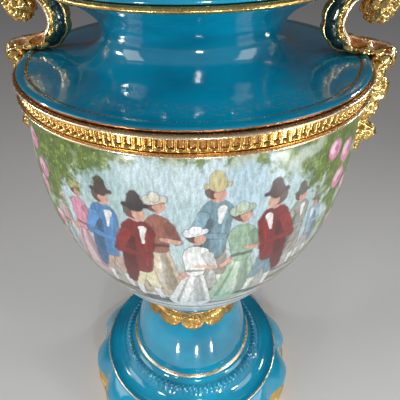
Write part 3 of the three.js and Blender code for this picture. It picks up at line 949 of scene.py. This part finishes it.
LEAF_LUMPS = [
    ((105.2, 0, 9.0), (8.2, 8.6, 7.6)), ((101, 6.5, 3), (6.6, 5.5, 7.2)), ((101, -6.5, 3), (6.6, 5.5, 7.2)),
    ((105.4, 0, -8.5), (9.2, 7.5, 9.4)), ((104, 0, -19.5), (8, 6, 8.6)), ((101.5, 0, -28.5), (6.3, 4.4, 6.5)),
    ((106, 0, -35.6), (8.9, 6.2, 6.6)), ((101.3, 0, -45), (6, 3.6, 7)),
]


def make_handle(name, node, mirror, materials):
    work = bmesh.new()
    rows = add_strap(work, mirror)
    length = rows[-1][3]
    for k in range(int(length / HUSK_PITCH) + 1):
        for offset, size in ((0.5, 1.0), (0.0, 0.55)):
            run = (k + offset) * HUSK_PITCH
            if not 12.0 < run < length:
                continue
            middle, along, half, _ = min(rows, key=lambda row: abs(row[3] - run))
            opening = Vector((along.y, -along.x))
            low = 0.33 if run > ARM_END else -0.3
            spot = middle + opening * (low * half)
            lean = math.atan2(-along.x, along.y)
            for side in (-1, 1):
                add_lump(work, (spot.x, side * 6.9, spot.y), (1.9 * size, 1.6 * size, 3.3 * size), mirror,
                         rough=0.8, cell=1.7, detail=3, seed=k, lean=lean)
    add_lump(work, (97.6, 0, 36.8), (9.9, 8.7, 9.9), mirror, rough=2.6, cell=3.9, detail=5, seed=5.0)
    for k, (centre, sizes) in enumerate(LEAF_LUMPS):
        add_lump(work, centre, sizes, mirror, rough=2.2, cell=3.2, detail=4, seed=11.0 * k)
    return place_piece(finished(name, work, materials), "gilt", node)


# ---- studio -------------------------------------------------------------------------


def area_light(name, place, target, size, power, colour=(1.0, 1.0, 1.0), mirrored=True, spills=True):
    data = bpy.data.lights.new(name, "AREA")
    data.shape = "RECTANGLE"
    data.size, data.size_y = size
    data.energy = power
    data.color = colour
    light = bpy.data.objects.new(name, data)
    light.location = place
    light.visible_glossy = mirrored
    light.visible_diffuse = spills
    light.rotation_euler = (Vector(target) - Vector(place)).to_track_quat("-Z", "Y").to_euler()
    bpy.context.scene.collection.objects.link(light)
    return light


def make_studio():
    floor_mesh = bpy.data.meshes.new("floor")
    half = 3.0
    corners = [(-half, -half, 0), (half, -half, 0), (half, half, 0), (-half, half, 0)]
    floor_mesh.from_pydata(corners, [], [(0, 1, 2, 3)])
    floor = bpy.data.objects.new("floor", floor_mesh)
    floor.location.z = -0.0005
    bpy.context.scene.collection.objects.link(floor)
    material, nodes, shader = new_material("pale_floor")
    shader.inputs["Base Color"].default_value = (0.62, 0.61, 0.6, 1.0)
    shader.inputs["Roughness"].default_value = 0.6
    floor_mesh.materials.append(material)

    world = bpy.data.worlds.new("studio")
    world.use_nodes = True
    sky = Nodes(world.node_tree)
    background = world.node_tree.nodes["Background"]
    apart = sky.add("ShaderNodeSeparateXYZ")
    sky.link(sky.add("ShaderNodeTexCoord").outputs["Generated"], apart.inputs[0])
    behind = sky.ramp(apart.outputs["Y"], -0.3, 0.5)
    sky.link(sky.mix(behind, (0.9, 0.95, 1.0, 1.0), (0.22, 0.17, 0.15, 1.0)), background.inputs["Color"])
    background.inputs["Strength"].default_value = 0.26
    bpy.context.scene.world = world

    neck = (0.0, 0.0, 0.33)
    for k, place in enumerate(NECK_WINDOWS):
        area_light(f"window_{k}", place, neck, (0.05, 0.04), 0.65, (0.95, 0.98, 1.0))
    stem = (0.0, 0.0, 0.085)
    for k, (bearing, far, high) in enumerate(STEM_WINDOWS):
        turn = math.radians(bearing)
        place = (far * math.sin(turn), -far * math.cos(turn), high)
        area_light(f"low_window_{k}", place, stem, (0.009, 0.022), 0.03, (0.95, 0.98, 1.0), spills=False)
    middle = (0.0, 0.0, 0.24)
    area_light("front_panel", (0.1, -1.6, 1.3), middle, (1.6, 1.1), 9.0, mirrored=False)
    area_light("left_panel", (-1.5, -0.5, 0.8), middle, (0.7, 1.0), 5.0, (1.0, 0.96, 0.9))
    area_light("right_panel", (1.5, -0.4, 0.8), middle, (0.7, 1.0), 5.0, (1.0, 0.97, 0.93))


def make_camera():
    data = bpy.data.cameras.new("camera")
    data.lens = 35.97
    data.sensor_width = 36.0
    data.shift_x = 0.057
    data.shift_y = 0.002
    data.clip_start = 0.01
    camera = bpy.data.objects.new("camera", data)
    heading, tilt, roll = (math.radians(angle) for angle in (7.57, 90.0 - 37.45, -1.56))
    turn = Matrix.Rotation(heading, 4, "Z") @ Matrix.Rotation(tilt, 4, "X") @ Matrix.Rotation(roll, 4, "Z")
    camera.matrix_world = Matrix.Translation((0.0206, -0.2354, 0.3854)) @ turn
    bpy.context.scene.collection.objects.link(camera)
    bpy.context.scene.camera = camera
    bpy.context.scene.view_settings.view_transform = "Standard"


# ---- the scene ----------------------------------------------------------------------

turquoise = turquoise_material()
painted = painted_material()
white = porcelain_material()
gilt = gilt_material("bright_gilt", GOLD, GOLD_RED, wear=0.35, roughness=0.2)
# Pale gilt for beads, rails, ridges and crests: its pale, whitish colour is a painted highlight.
gilt_painted_highlight = gilt_material("gilt_painted_highlight", GOLD_PAINTED_HIGHLIGHT, (190, 130, 80), wear=0.12, roughness=0.24,
                          texture=0.00006)
band_gilt = gilt_material("band_gilt", (232, 182, 104), (112, 58, 30), wear=0.2, roughness=0.2,
                          texture=0.0001)
collar_gilt = gilt_material("collar_gilt", (202, 160, 92), (74, 84, 72), wear=0.6, roughness=0.26)
# Worn gilt for the strip under the roll: worn patches, and a dark brown that is a painted dark reflection.
worn_gilt_dark_reflection = gilt_material("worn_gilt_dark_reflection", (176, 112, 66), (84, 44, 34), wear=0.7, roughness=0.3)
# The panels' dark teal is a painted dark reflection.
teal_dark_reflection = lustre_material("teal_panel_dark_reflection", TEAL_DARK_REFLECTION, (26, 40, 40))
amber = lustre_material("amber_scallop", AMBER, (124, 66, 28))

make_vessel(turquoise, painted, gilt, worn_gilt_dark_reflection, white)
make_band(band_gilt, gilt_painted_highlight)
make_foot(turquoise, gilt, gilt_painted_highlight)
make_collar(collar_gilt)
make_lid(turquoise, gilt, white)
handle_materials = [gilt, teal_dark_reflection, amber, gilt_painted_highlight]
make_handle("right_handle", "handle_right", 1, handle_materials)
make_handle("left_handle", "handle_left", -1, handle_materials)
make_studio()
make_camera()

bpy.context.view_layer.update()
